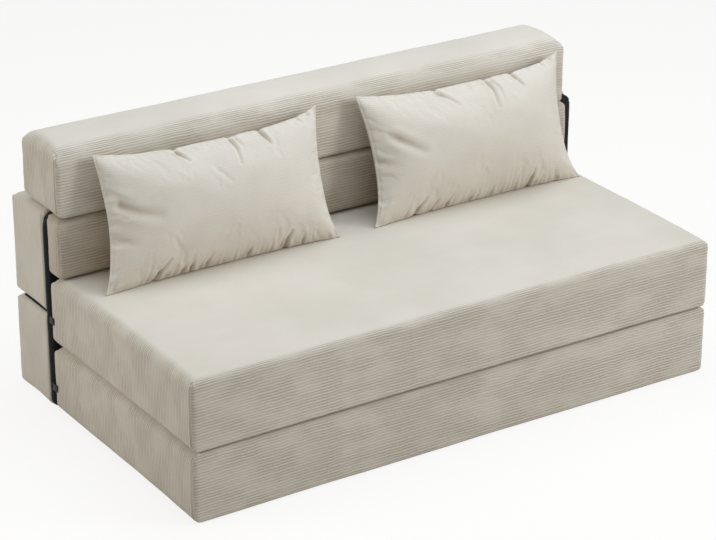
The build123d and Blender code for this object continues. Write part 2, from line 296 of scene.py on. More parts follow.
def make_object(name, points, quads, uv=None, material=None, smooth=True):
    """Puts arrays of points, faces and one UV pair per face corner into a mesh object."""
    mesh = bpy.data.meshes.new(name)
    mesh.from_pydata(np.asarray(points, float).tolist(), [], np.asarray(quads, int).tolist())
    if uv is not None:
        layer = mesh.uv_layers.new(name="Cloth")
        layer.data.foreach_set("uv", np.asarray(uv, np.float32).ravel())
    mesh.polygons.foreach_set("use_smooth", [smooth] * len(mesh.polygons))
    mesh.validate()
    mesh.update()
    obj = bpy.data.objects.new(name, mesh)
    bpy.context.scene.collection.objects.link(obj)
    if material is not None:
        mesh.materials.append(material)
    return obj


def belongs(obj, body, finish, *nodes):
    """Attaches a piece to the body that carries it and hides the CAD nodes that it stands for. The
    finish is not used.
    """
    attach(obj, body)
    if nodes:
        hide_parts(*nodes)


def set_values(obj, name, values):
    """Gives a mesh one number per point, which its material reads."""
    layer = obj.data.attributes.new(name, "FLOAT", "POINT")
    layer.data.foreach_set("value", values.astype(np.float32))


def corners_of(node):
    return (np.array(corner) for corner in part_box(node))


def normals_of(points, quads):
    """Unit normals at the points: the sum of the crossed diagonals of the quads round each."""
    a, b, c, d = (points[quads[:, n]] for n in range(4))
    across = np.cross(c - a, d - b)
    total = np.zeros_like(points)
    for n in range(4):
        np.add.at(total, quads[:, n], across)
    return total / np.maximum(np.linalg.norm(total, axis=1, keepdims=True), 1e-12)


def graded(length, edge, fine, coarse):
    """Places from 0 to a length, close together within an edge zone of both ends."""
    edge = min(edge, length * 0.35)
    start = np.linspace(0, edge, max(2, int(round(edge / fine))) + 1)
    middle = np.linspace(edge, length - edge, max(2, int(round((length - 2 * edge) / coarse))) + 1)
    return np.concatenate([start, middle[1:-1], length - start[::-1]])


def bell(distance, middle, width):
    return np.exp(-((distance - middle) / width) ** 2)


def waves(points, sizes, seed, count=5):
    """A smooth random field: a sum of slanted sine waves with the given wave lengths."""
    pick = np.random.default_rng(seed)
    total = np.zeros(len(points))
    for n in range(count):
        direction = pick.normal(size=3)
        direction /= np.linalg.norm(direction)
        total += np.sin(points @ (direction * TURN / np.array(sizes)) + pick.uniform(0, 6.28))
    return total / count


def squeeze(a, b, half_a, half_b, radius):
    """Rounds the corners of a filled rectangle. Each corner has a square cell as large as fits:
    in it, a point slides along its ray from the cell's inner corner, by as much as the ray's
    end slides from the square corner onto the corner's arc."""
    cell = min(half_a, half_b)
    in_a, in_b = np.abs(a) - (half_a - cell), np.abs(b) - (half_b - cell)
    inside = (in_a > 0) & (in_b > 0)
    share = np.where(inside, np.maximum(np.maximum(in_a, in_b) / cell, 1e-9), 1)
    edge_a, edge_b = in_a / share, in_b / share
    flat_a, flat_b = np.minimum(edge_a, cell - radius), np.minimum(edge_b, cell - radius)
    out_a, out_b = edge_a - flat_a, edge_b - flat_b
    scale = radius / np.maximum(np.hypot(out_a, out_b), 1e-9)
    rounded = inside & (out_a > 1e-9) & (out_b > 1e-9)
    new_a = np.where(rounded, (flat_a + out_a * scale) * share, in_a)
    new_b = np.where(rounded, (flat_b + out_b * scale) * share, in_b)
    return np.sign(a) * (new_a + half_a - cell), np.sign(b) * (new_b + half_b - cell)


def box_grid(xs, ys, zs):
    """Welded quads over the six sides of a box of grid lines, facing outwards. Returns the grid
    place of each point, the quads, and for each quad its side (axis times 2, plus 1 if far)."""
    counts = (len(xs), len(ys), len(zs))
    stride = (counts[1] * counts[2], counts[2], 1)
    quads, sides = [], []
    for axis in range(3):
        b, d = (axis + 1) % 3, (axis + 2) % 3
        rows, columns = (np.arange(counts[n] - 1) * stride[n] for n in (b, d))
        near = np.add.outer(rows, columns).ravel()
        around = np.array([0, stride[b], stride[b] + stride[d], stride[d]])
        for far in (0, 1):
            first = near + (counts[axis] - 1) * far * stride[axis]
            quads.append(first[:, None] + (around if far else around[[0, 3, 2, 1]]))
            sides.append(np.full(len(first), axis * 2 + far))
    quads, sides = np.concatenate(quads), np.concatenate(sides)
    used, welded = np.unique(quads, return_inverse=True)
    place = np.stack(np.unravel_index(used, counts), 1)
    return place, welded.reshape(quads.shape), sides


def band_map(flat, quads, sides, size, ribs=None):
    """UV of a boxed cover, in metres. Front, top, rear and foot are one band unrolled about X.
    The ends carry on from the top, so ribs run along the band and straight down the ends.
    Ribs holds the depth and height that ribs keep to, so that they run straight into the round
    corners."""
    length, depth, height = size
    corner = flat[quads]
    x, y, z = corner[..., 0], corner[..., 1], corner[..., 2]
    level, behind = (z, y) if ribs is None else (ribs[quads][..., 1], ribs[quads][..., 0])
    side = sides[:, None] + np.zeros((1, 4), int)
    u = np.select([side == 0, side == 1], [z - height, length + height - z], x)
    v = np.select([side < 2, side == 2, side == 3, side == 4],
                  [height + behind, level, height + depth + height - level, -y], height + y)
    return np.stack([u, v], -1).reshape(-1, 2)


# ---- foam sections

# How far a front face may swell before it meets its neighbour at the unfolded seam
fold_room = 0.0004
# Rounding of a section's upright corners, and how far in from each side its edges may begin
plan_round, edge_zone = 0.018, 0.045
# Grid steps of a section: at its edges, and between them along its length, depth and height
edge_step, length_step, depth_step, height_step = 0.003, 0.0095, 0.0085, 0.006
# Seams: depth and width of the groove, then height, place and width of the ridges beside it
groove_depth, groove_width = 0.0010, 0.0028
ridge_height, ridge_place, ridge_width = 0.0004, 0.007, 0.004
# Height of the gathers, how far they reach from a seam and how close they stand
gather_height, gather_reach, gather_step = 0.0007, 0.016, 0.028


def rounding(a, b, reach_a, reach_b, radius):
    """Places lie a and b out from the corner of an inner box, whose outer corner lies at both
    reaches and is rounded. Says how much longer each one's ray is than the part of it up to the
    rounded corner, as a share, and 0 for places within."""
    radius = np.minimum(radius, 0.95 * min(reach_a, reach_b))
    middle_a, middle_b = reach_a - radius, reach_b - radius
    outside = (a > middle_a) & (b > middle_b) & (np.hypot(a - middle_a, b - middle_b) > radius)
    along, square = a * middle_a + b * middle_b, np.maximum(a * a + b * b, 1e-12)
    root = np.sqrt(np.maximum(along ** 2 - square * (middle_a ** 2 + middle_b ** 2 - radius ** 2), 0))
    return np.where(outside, square / np.maximum(along + root, 1e-12) - 1, 0)


class Section:
    """A boxed foam section: a box grid rounded in its side, front and plan outlines, crowned,
    drawn in between its corners, with seam grooves, small gathers and slow waves."""

    def __init__(self, node, rounds, crowns=(0, 0), draw=0.0, swell=0.0002, seed=0):
        self.low, high = corners_of(node)
        self.size = high - self.low
        self.top_crown, self.front_crown = crowns
        self.size[2] -= self.top_crown
        self.front_top, self.front_foot, self.rear, self.end_top, self.end_foot = rounds
        self.draw, self.swell, self.seed = draw, swell, seed

    def form(self, flat):
        """Rest form: each place of the box slides towards the nearest place of an inner box, by
        the root of the squares of what the three planes' roundings ask. Crown and draw follow.
        Returned with the depth and height that the ribs keep to."""
        length, depth, height = self.size
        half = self.size / 2
        reach = np.minimum(edge_zone, half * 0.95)
        anchor = np.clip(flat - half, reach - half, half - reach)
        offset = flat - half - anchor
        far_x, far_y, far_z = np.abs(offset).T
        front, below = flat[:, 1] < half[1], flat[:, 2] < half[2]
        side_round = np.where(front, np.where(below, self.front_foot, self.front_top), self.rear)
        side = rounding(far_y, far_z, reach[1], reach[2], side_round)
        end = rounding(far_x, far_z, reach[0], reach[2], np.where(below, self.end_foot, self.end_top))
        plan = rounding(far_x, far_y, reach[0], reach[1], plan_round)
        x, y, z = (anchor + offset / (1 + np.sqrt(side ** 2 + end ** 2 + plan ** 2))[:, None]).T
        side_z = anchor[:, 2] + offset[:, 2] / (1 + side)
        ribs = np.stack([y + half[1], flat[:, 2] + z - side_z], 1)
        across, behind, up = 2 * x / length, 2 * y / depth, 2 * z / height
        y = y - np.sign(y) * self.draw * (1 - across ** 2) * np.abs(behind) ** 3
        x = x - np.sign(x) * self.draw * (1 - behind ** 2) * np.abs(across) ** 9
        z = z + self.top_crown * (1 - behind ** 2) * np.clip((up + 1) / 2, 0, 1)
        y = y + self.front_crown * up ** 2 * np.clip((1 - behind) / 2, 0, 1)
        return self.low + self.size / 2 + np.stack([x, y, z], 1), ribs

    def build(self):
        """Points, quads and UV of the dressed form."""
        length, depth, height = self.size
        xs, ys, zs = (graded(size, edge_zone, edge_step, step)
                      for size, step in zip(self.size, (length_step, depth_step, height_step)))
        place, quads, sides = box_grid(xs, ys, zs)
        flat = np.stack([xs[place[:, 0]], ys[place[:, 1]], zs[place[:, 2]]], 1)
        points, ribs = self.form(flat)
        normals = normals_of(points, quads)
        from_end = np.minimum(flat[:, 0], length - flat[:, 0])
        from_face = np.minimum(flat[:, 1], depth - flat[:, 1])
        from_top = np.minimum(flat[:, 2], height - flat[:, 2])
        seam = np.maximum(from_end, from_face)
        groove = -groove_depth * bell(seam, 0, groove_width)
        groove = groove + ridge_height * bell(seam, ridge_place, ridge_width)
        pull = np.exp(-seam / gather_reach) * bell(from_top, 0.02, 0.2)
        gather = gather_height * pull * waves(flat, (0.3, 0.3, gather_step), self.seed, 6)
        slow = 0.0011 * waves(flat, (0.42, 0.33, 0.3), self.seed + 1)
        slow = slow + 0.0005 * waves(flat, (0.12, 0.1, 0.1), self.seed + 2)
        out = groove + gather + np.minimum(slow - 0.0004, self.swell)
        out = np.where(normals[:, 1] < -0.5, np.minimum(out, fold_room), out)
        return points + normals * out[:, None], quads, band_map(flat, quads, sides, self.size, ribs)


def cover_section(name, section, body, nodes, material, finish):
    points, quads, uv = section.build()
    obj = make_object(name, points, quads, uv, material)
    if finish == "corduroy":
        # Painted top light: faces that look up get a high value, which fades their dark rib valleys in
        # the material so they render paler, and flattens their rib bumps.
        set_values(obj, "rib_calm_and_painted_top_light", np.clip((normals_of(points, quads)[:, 2] - 0.78) / 0.2, 0, 1))
    belongs(obj, body, finish, *nodes)


# Rounds are those of the front's top and foot edge, the rear edges, and the ends' top and foot
sections = (
    ("lower_seat", "lower_seat", BEIGE, (0.006, 0.01, 0.04, 0.028, 0.03), (0, 0), 0.003, 0.0002, 11),
    ("upper_seat", "upper_seat", BEIGE, (0.02, 0.006, 0.04, 0.03, 0.028), (0.006, 0), 0.003, 0.0003, 12),
    ("lower_back", "back", BACK_BEIGE, (0.01, 0.01, 0.038, 0.022, 0.022), (0, 0), 0.003, 0.0002, 13),
    ("upper_back", "back", BACK_BEIGE, (0.01, 0.01, 0.038, 0.022, 0.022), (0, 0), 0.003, 0.0002, 14),
    ("bolster", "bolster", BEIGE, (0.04, 0.018, 0.032, 0.034, 0.034), (0.012, 0), 0.003, 0.0002, 15),
    ("front_pad", "back", PAD_PAINTED_SHADE_CLOTH, (0.02, 0.02, 0.006, 0.018, 0.022), (0, 0.004), 0.0, 0.0002, 16),
)
for name, body, material, rounds, crowns, draw, swell, seed in sections:
    cover_section(name + "_dressed", Section(name + "_cover", rounds, crowns, draw, swell, seed), body,
                  [name + "_cover", name + "_foam"], material, "corduroy")


# ---- pillows

# How far a pillow leans back, and how far the simulation may move a point
lean, swell_limit = math.radians(19), 0.009
# The seam round the rim: where the cloth comes up to its full thickness, and its sunk line
rim_width, seam_place, seam_width, seam_depth = 0.005, 0.0046, 0.002, 0.0011
# Gathers: their height and reach at the foot, and their height at the other seams
foot_height, foot_reach, seam_height = 0.0054, 0.019, 0.0016
# How far creases sink before their painted shade is full, and how strong the painted shade at the foot
# is
shaded_depth, foot_shade = 0.006, 0.26


def crease(place, points, width, depth):
    """How far a crease sinks the cloth: a bell across its line, less deep towards its far end,
    with a low fold standing up beside it. One that starts away from a seam also starts flat."""
    best = np.full(len(place), 9.0)
    along = np.zeros(len(place))
    points = np.array(points, float)
    for n in range(len(points) - 1):
        a, step = points[n], points[n + 1] - points[n]
        t = np.clip(((place - a) @ step) / (step @ step), 0, 1)
        distance = np.linalg.norm(place - a - t[:, None] * step, axis=1)
        near = distance < best
        best = np.where(near, distance, best)
        along = np.where(near, (n + t) / (len(points) - 1), along)
    loose = 0.05 < points[0, 0] / Pillow.width < 0.95 and 0.05 < points[0, 1] / Pillow.height < 0.95
    fade = (1 - 0.75 * along) * (np.clip(along / 0.35, 0, 1) if loose else 1)
    return depth * fade * (-bell(best, 0, width) + 0.42 * bell(best, 2.1 * width, 1.2 * width))


def inflate(obj, pins, pressure, growth, frames):
    """Lets a pillow's cloth swell: Blender's Cloth with inner pressure and no gravity. Pinned
    points stay, growth is how much longer the cloth is than its start shape."""
    group = obj.vertex_groups.new(name="pins")
    group.add(np.nonzero(pins)[0].tolist(), 1.0, "REPLACE")
    cloth = obj.modifiers.new("swell", "CLOTH")
    for key, value in dict(quality=6, mass=0.25, tension_stiffness=18, compression_stiffness=18,
                           shear_stiffness=6, bending_stiffness=0.35, use_pressure=True,
                           uniform_pressure_force=pressure, shrink_min=-growth,
                           vertex_group_mass="pins").items():
        setattr(cloth.settings, key, value)
    cloth.settings.effector_weights.gravity = 0
    cloth.collision_settings.use_self_collision = False
    cloth.point_cache.frame_start = 1
    cloth.point_cache.frame_end = frames
    scene = bpy.context.scene
    for number in range(1, frames + 1):
        scene.frame_set(number)
    depsgraph = bpy.context.evaluated_depsgraph_get()
    swollen = obj.evaluated_get(depsgraph).to_mesh()
    points = np.zeros(len(swollen.vertices) * 3, np.float32)
    swollen.vertices.foreach_get("co", points)
    scene.frame_set(1)
    return points.reshape(-1, 3).astype(float)


def resample(field, old, new):
    """Carries values on old places over to new ones, along the first axis, as a smooth cubic
    through the four nearest."""
    low = np.clip(np.searchsorted(old, new, side="right") - 1, 0, len(old) - 2)
    t = ((new - old[low]) / (old[low + 1] - old[low]))[:, None, None]
    before, after = field[np.maximum(low - 1, 0)], field[np.minimum(low + 2, len(old) - 1)]
    a, b = field[low], field[low + 1]
    bend = 2 * before - 5 * a + 4 * b - after + t * (3 * (a - b) + after - before)
    return a + 0.5 * t * (b - before + t * bend)


class Pillow:
    """A knife-edge pillow: two panels sewn round their rim, whose thickness falls off as powers
    of 1 - u^a and 1 - v^b. Each side of the rim draws in between the corners, pulls shift a
    corner sideways by a product of powers, and the lower seam is tucked back as a cube."""

    width, height, thick, rim, tuck = 0.655, 0.342, 0.142, 0.005, 0.018

    def __init__(self, pulls, draws):
        self.pulls = pulls
        self.draws = draws

    def grid(self, fine, coarse_u, coarse_v):
        """Places across and up the panels, from -1 to 1, close together near the rim."""
        across = graded(self.width, 0.02, fine, coarse_u) / self.width * 2 - 1
        upward = graded(self.height, 0.02, fine, coarse_v) / self.height * 2 - 1
        return across, upward

    def panels(self, across, upward, share):
        """Front and rear panel at a share of the full thickness, as grids of points."""
        u, v = np.meshgrid(across, upward, indexing="ij")
        steep = np.where(u < 0, 2.3, 2.7)
        swell = (1 - np.abs(u) ** steep) ** 0.66 * (1 - np.abs(v) ** 2.3) ** 0.66
        top, foot, left_end, right_end = self.draws
        bow = 1 - np.abs(u) ** np.where(u < 0, 2.4, 4.5)
        bend = np.clip(1 - np.abs(v + 0.18 * (1 - v * v)) ** 2.4, 0, 1)
        x = u * self.width / 2 - np.where(u < 0, -left_end, right_end) * bend * np.abs(u) ** 1.5
        z = v * self.height / 2 - np.where(v < 0, -foot, top) * bow * np.abs(v) ** 1.2
        for (end, level), pull in self.pulls.items():
            x = x + ((1 + u * end) / 2) ** 4 * ((1 + v * level) / 2) ** 1.5 * pull
        out = (self.rim * (1 - np.exp(-swell * 9)) + (self.thick - self.rim) * swell) * share / 2
        tuck = self.tuck * (1 - np.abs(u) ** 3) * ((1 - v) / 2) ** 3
        return np.stack([x, tuck - out, z], -1), np.stack([x, tuck + out, z], -1)

    def mesh(self, across, upward):
        """Quads and UV of both panels, which share the rim's points, and the inner points."""
        columns, rows = len(across), len(upward)
        number = np.arange(columns * rows).reshape(columns, rows)
        inner = number[1:-1, 1:-1].ravel()
        behind = number.ravel().copy()
        behind[inner] = columns * rows + np.arange(len(inner))
        behind = behind.reshape(columns, rows)

        def cells(numbers):
            corners = [numbers[:-1, :-1], numbers[1:, :-1], numbers[1:, 1:], numbers[:-1, 1:]]
            return np.stack(corners, -1).reshape(-1, 4)

        u, v = np.meshgrid(across * self.width / 2, upward * self.height / 2, indexing="ij")
        flat = np.stack([u.ravel(), v.ravel()], 1)
        quads = np.concatenate([cells(number), cells(behind)[:, ::-1]])
        uv = np.concatenate([flat[cells(number)], flat[cells(number)[:, ::-1]] + 0.4]).reshape(-1, 2)
        return quads, uv, inner

    def swollen(self):
        """How far Blender's Cloth moves each point of a coarse grid, front and rear. It starts
        thinner than the pillow, with its rim pinned."""
        across, upward = self.grid(0.0026, 0.0072, 0.0062)
        quads, _, inner = self.mesh(across, upward)
        full, start = (np.concatenate([front.reshape(-1, 3), rear.reshape(-1, 3)[inner]])
                       for front, rear in (self.panels(across, upward, share) for share in (1.0, 0.8)))
        cloth = make_object("pillow_cloth", start, quads)
        pins = np.ones(len(start))
        pins[inner] = 0
        pins[len(across) * len(upward):] = 0
        move = inflate(cloth, pins, pressure=3.0, growth=0.007, frames=24) - full
        bpy.data.objects.remove(cloth)
        reach = np.linalg.norm(move, axis=1, keepdims=True)
        move = move * np.minimum(1, swell_limit / np.maximum(reach, 1e-9))
        shape = (len(across), len(upward), 3)
        behind = np.zeros((len(across) * len(upward), 3))
        behind[inner] = move[len(behind):]
        return across, upward, move[:len(behind)].reshape(shape), behind.reshape(shape)


def pillow(name, side, creases, pulls, draws, seed):
    """Swells a pillow by simulation, carries that over to a finer grid, sinks creases, raises
    gathers along its seams, leans it back, and rests it on the seat and against the back."""
    low, high = corners_of(side + "_pillow_case")
    form = Pillow(pulls, draws)
    width, height = form.width, form.height
    across, upward = form.grid(0.0022, 0.0029, 0.0028)
    front, rear = form.panels(across, upward, 1.0)
    old_across, old_upward, moved_front, moved_rear = form.swollen()
    for panel, move in ((front, moved_front), (rear, moved_rear)):
        move = resample(move, old_across, across).transpose(1, 0, 2)
        panel += resample(move, old_upward, upward).transpose(1, 0, 2)
    quads, uv, inner = form.mesh(across, upward)
    points = np.concatenate([front.reshape(-1, 3), rear.reshape(-1, 3)[inner]])
    normals = normals_of(points, quads)
    place = np.meshgrid((across + 1) / 2 * width, (upward + 1) / 2 * height, indexing="ij")
    place = np.stack(place, -1).reshape(-1, 2)
    facing = np.repeat([1.0, 0.0], [len(place), len(inner)])
    place = np.concatenate([place, place[inner]])
    space = np.stack([place[:, 0], place[:, 1], facing], 1)
    flipped = np.stack([width - place[:, 0], place[:, 1]], 1)
    from_end = np.minimum(place[:, 0], width - place[:, 0])
    from_rim = np.minimum(from_end, np.minimum(place[:, 1], height - place[:, 1]))
    rise = np.minimum(from_rim / rim_width, 1)
    folds, notch = np.zeros(len(place)), np.zeros(len(place))
    for crease_width, depth, *line in creases:
        spots = [(a * width, (1 - b) * height) for a, b in zip(line[::2], line[1::2])]
        if not 0.05 <= line[1] <= 0.95:
            inward = -1 if line[1] < 0.05 else 1
            from_seam = height - place[:, 1] if inward < 0 else place[:, 1]
            beside = (place[:, 0] - spots[0][0]) / 0.009
            notch += inward * 0.6 * depth * np.exp(-beside ** 2 - from_seam / 0.02)
        folds += crease(place, spots, crease_width, depth) * facing
        folds += crease(flipped, spots, crease_width, depth * 0.8) * (1 - facing)
    reach = foot_reach * (0.8 + 0.7 * waves(space, (0.09, 9, 9), seed + 3, 3))
    for tall, decay, sizes, number in (
            (foot_height, place[:, 1] / reach, (0.0135, 0.12, 9), 4),
            (seam_height, (height - place[:, 1]) / 0.018, (0.021, 0.5, 9), 5),
            (seam_height, from_end / 0.018, (0.5, 0.023, 9), 6)):
        folds += tall * np.exp(-decay) * waves(space, sizes, seed + number, 4)
    soft = 0.0011 * waves(space, (0.09, 0.11, 0.3), seed)
    seam = -seam_depth * bell(from_rim, seam_place, seam_width)
    half = np.linalg.norm(rear - front, axis=-1).ravel() / 2
    half = np.concatenate([half, half[inner]])
    out = np.where(rise > 0, np.maximum(rise * folds + soft + seam, -0.7 * half), soft)
    points = points + normals * out[:, None]
    points[:, 2] += notch
    x, y, z = points.T
    leaned = np.stack([x, y * math.cos(lean) + z * math.sin(lean),
                       z * math.cos(lean) - y * math.sin(lean)], 1) + (low + high) / 2
    seat_low, seat_high = corners_of("upper_seat_cover")
    middle, half_depth = (seat_low[1] + seat_high[1]) / 2, (seat_high[1] - seat_low[1]) / 2
    seat_top = seat_high[2] - 0.006 * ((leaned[:, 1] - middle) / half_depth) ** 2 + 0.0006
    leaned[:, 2] = np.maximum(leaned[:, 2], seat_top)
    pad_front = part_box("front_pad_cover")[0][1] - 0.0005
    leaned[:, 1] = np.minimum(leaned[:, 1], pad_front - 0.0015 * facing * rise)
    obj = make_object(name, leaned, quads, uv, PILLOW_CLOTH)
    # Painted shade: darker towards the valley colour in sunk creases and near the foot, where the pillow
    # meets the seat; the material reads it as the fold attribute.
    shade = np.clip(-folds / shaded_depth, 0, 1) * 0.75 + foot_shade * np.exp(-place[:, 1] / 0.022)
    set_values(obj, "rib_calm_and_painted_top_light", np.full(len(leaned), 0.35))
    set_values(obj, "fold", np.minimum(shade, 1))
    belongs(obj, side + "_pillow", "corduroy", side + "_pillow_case", side + "_pillow_insert")


# Each crease: width, depth, and the points of its line as shares of the pillow's width and of
# its height from the top
left_creases = [
    (0.0042, 0.0078, 0.36, 0.015, 0.375, 0.06, 0.395, 0.12),
    (0.0045, 0.0065, 0.60, 0.01, 0.607, 0.1, 0.60, 0.24),
    (0.0034, 0.004, 0.625, 0.01, 0.64, 0.09),
    (0.0042, 0.0085, 0.735, 0.005, 0.745, 0.06, 0.757, 0.14),
    (0.0032, 0.003, 0.905, 0.01, 0.925, 0.07),
    (0.003, 0.002, 0.95, 0.01, 0.965, 0.06),
    (0.012, 0.0066, 0.05, 0.39, 0.12, 0.455, 0.21, 0.51),
    (0.010, 0.0022, 0.01, 0.30, 0.10, 0.36, 0.17, 0.39),
    (0.010, 0.003, 0.01, 0.62, 0.10, 0.68),
    (0.0045, 0.0095, 0.2, 0.995, 0.225, 0.92, 0.25, 0.86),
    (0.0035, 0.0045, 0.315, 0.995, 0.33, 0.93),
    (0.0035, 0.0035, 0.355, 0.995, 0.365, 0.92),
    (0.004, 0.0035, 0.42, 0.995, 0.435, 0.9),
    (0.0035, 0.003, 0.60, 0.995, 0.61, 0.93),
    (0.0042, 0.0085, 0.765, 0.995, 0.775, 0.93, 0.79, 0.87),
    (0.0035, 0.0035, 0.84, 0.995, 0.85, 0.92),
    (0.0035, 0.003, 0.9, 0.995, 0.905, 0.91),
]
right_creases = [
    (0.0048, 0.007, 0.36, 0.015, 0.395, 0.08, 0.43, 0.17),
    (0.005, 0.0075, 0.605, 0.01, 0.612, 0.1, 0.607, 0.27),
    (0.0036, 0.0045, 0.63, 0.01, 0.648, 0.1, 0.645, 0.2),
    (0.0042, 0.0085, 0.74, 0.005, 0.752, 0.06, 0.768, 0.13),
    (0.0032, 0.003, 0.90, 0.01, 0.92, 0.06),
    (0.003, 0.002, 0.95, 0.01, 0.965, 0.05),
    (0.011, 0.0078, 0.06, 0.31, 0.13, 0.40, 0.21, 0.50),
    (0.010, 0.003, 0.01, 0.52, 0.09, 0.57),
    (0.0042, 0.0085, 0.19, 0.995, 0.205, 0.93, 0.22, 0.88),
    (0.0038, 0.005, 0.27, 0.995, 0.285, 0.92),
    (0.004, 0.0045, 0.34, 0.995, 0.35, 0.9),
    (0.0035, 0.003, 0.45, 0.995, 0.46, 0.93),
    (0.0044, 0.0085, 0.74, 0.995, 0.755, 0.93, 0.765, 0.86),
    (0.0036, 0.0045, 0.8, 0.995, 0.81, 0.92),
    (0.0035, 0.0035, 0.875, 0.995, 0.88, 0.91),
]
left_pulls = {(-1, 1): 0.022, (-1, -1): -0.014, (1, -1): 0.005, (1, 1): 0.003}
right_pulls = {(1, 1): -0.016, (1, -1): -0.010, (-1, -1): -0.012}
pillow("left_pillow_dressed", "left", left_creases, left_pulls, (0.028, 0.004, 0.028, 0.022), 41)
pillow("right_pillow_dressed", "right", right_creases, right_pulls, (0.028, 0.004, 0.026, 0.034), 57)


# ---- black cloth, hinge and tabs

for name, rounds, seed in (("lower_back", (0.006, 0.006, 0.001, 0.002, 0.020), 21),
                           ("upper_back", (0.006, 0.006, 0.001, 0.042, 0.002), 22)):
    cover_section(name + "_padding", Section(name + "_backing", rounds, seed=seed), "back",
                  [name + "_backing"], BLACK_CLOTH, "black_nonslip_cloth")


def cloth_slab(name, node, body, corner, material, finish):
    """A thin flat sheet: a closed box grid with its four corners rounded in plan."""
    low, high = corners_of(node)
    size = high - low
    xs, ys = (graded(size[n], 0.03, 0.008, 0.02) for n in (0, 1))
    place, quads, sides = box_grid(xs, ys, np.array([0, size[2]]))
    flat = np.stack([xs[place[:, 0]], ys[place[:, 1]], place[:, 2] * size[2]], 1)
    half = size / 2
    x, y = squeeze(flat[:, 0] - half[0], flat[:, 1] - half[1], half[0], half[1], corner)
    points = np.stack([x + half[0], y + half[1], flat[:, 2]], 1) + low
    obj = make_object(name, points, quads, band_map(flat, quads, sides, size), material, smooth=False)
    belongs(obj, body, finish, node)


cloth_slab("base_cloth_sheet", "lower_seat_base_cloth", "lower_seat", 0.026, BLACK_CLOTH,
           "black_nonslip_cloth")
cloth_slab("back_seam_sheet", "back_seam_cloth", "back", 0.002, BLACK_CLOTH,
           "black_nonslip_cloth")
for body in ("lower_seat", "upper_seat"):
    cloth_slab(body[:5] + "_hinge_sheet", body + "_hinge_leaf", body, 0.001, HINGE_CLOTH,
               "hinge_cloth")


def swept(outline, xs):
    """Points, quads and UV of a closed outline in the YZ plane, with an even count of points,
    swept along X: one for all stations or one for each. Quads between its halves close the ends."""
    outline = np.asarray(outline, float)
    outlines = np.broadcast_to(outline, (len(xs), *outline.shape[-2:]))
    after = np.roll(outlines[0], -1, axis=0)
    if np.sum(outlines[0][:, 0] * after[:, 1] - after[:, 0] * outlines[0][:, 1]) < 0:
        outlines = outlines[:, ::-1]
    stations, count = outlines.shape[:2]
    rings = np.concatenate([np.broadcast_to(xs[:, None, None], (stations, count, 1)), outlines], -1)
    number = np.arange(count * stations).reshape(stations, count)
    following = np.roll(number, -1, axis=1)
    quads = np.stack([number[:-1], following[:-1], following[1:], number[1:]], -1).reshape(-1, 4)
    steps = np.linalg.norm(np.roll(outlines[0], -1, 0) - outlines[0], axis=1)
    girth = np.concatenate([[0], np.cumsum(steps)])
    v = np.stack([girth[:-1], girth[1:], girth[1:], girth[:-1]], -1)
    u = np.stack([xs[:-1], xs[:-1], xs[1:], xs[1:]], -1)
    uv = np.stack([np.repeat(u, count, axis=0), np.tile(v, (stations - 1, 1))], -1).reshape(-1, 2)
    turn = np.arange(count // 2 - 1)
    lid = np.stack([turn, turn + 1, count - 2 - turn, count - 1 - turn], 1)
    lid_uv = np.tile(outlines[0][lid].reshape(-1, 2), (2, 1))
    quads = np.concatenate([quads, number[0][lid][:, ::-1], number[-1][lid]])
    return rings.reshape(-1, 3), quads, np.concatenate([uv, lid_uv])


def hinge_bend():
    """The strip of hinge cloth that turns from the lower leaf to the upper one in the seam:
    a half ring about the fold line, a little flattened, carried along it."""
    cloth_thick, flattened = 0.0004, 0.9
    low, high = corners_of("lower_seat_hinge_leaf")
    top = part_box("upper_seat_hinge_leaf")[1][2]
    fold_y, fold_z = low[1], (low[2] + top) / 2
    angle = np.linspace(math.pi / 2, math.pi * 1.5, 9)
    outer = (top - low[2]) / 2
    ring = [np.stack([fold_y + np.cos(angle) * r * flattened, fold_z + np.sin(angle) * r], 1)
            for r in (outer, outer - cloth_thick)]
    outline = np.concatenate([ring[0], ring[1][::-1]])
    sweep = swept(outline, np.linspace(low[0], high[0], 60))
    obj = make_object("hinge_bend_sheet", *sweep, HINGE_CLOTH)
    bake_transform(obj)


hinge_bend()


def tabs(name, node, body):
    """Two webbing tabs, each a flat strip that turns round a rear corner: the strip's middle line
    has a rounded corner, and its thickness, less along both edges, is laid off square to it."""
    thick, reach, bend = 0.002, 0.034, 0.004
    half_thick = thick / 2 * np.array([0.62, 1, 1, 1, 1, 1, 0.62])[:, None, None]
    low, high = corners_of(node)
    rear = high[1] - thick / 2
    turn = np.linspace(0, math.pi / 2, 7)
    line = np.concatenate([
        [[0, low[1]], [0, (low[1] + rear - bend) / 2]],
        np.stack([-bend + bend * np.cos(turn), rear - bend + bend * np.sin(turn)], 1),
        [[-(bend + reach) / 2, rear], [-reach - thick, rear]]])
    tangent = np.gradient(line, axis=0)
    tangent /= np.linalg.norm(tangent, axis=1, keepdims=True)
    across = np.stack([tangent[:, 1], -tangent[:, 0]], 1)
    length = np.concatenate([[0], np.cumsum(np.linalg.norm(np.diff(line, axis=0), axis=1))])
    heights = np.linspace(0, high[2] - low[2], len(half_thick))
    strip = np.concatenate([line + across * half_thick, (line - across * half_thick)[:, ::-1]], 1)
    points, quads, _ = swept(strip, low[2] + heights)
    flat = np.stack([np.tile([*length, *length[::-1]], len(heights)),
                     np.repeat(heights, 2 * len(line))], 1)
    sides = ((-1, low[0] + thick / 2), (1, high[0] - thick / 2))
    both = [points[:, [1, 2, 0]] * (sign, 1, 1) + (corner_x, 0, 0) for sign, corner_x in sides]
    quads = np.concatenate([quads[:, ::-1], quads + len(points)])
    uv = np.tile(flat, (2, 1))[quads].reshape(-1, 2)
    obj = make_object(name, np.concatenate(both), quads, uv, BLACK_WEBBING)
    belongs(obj, body, "black_webbing", node)


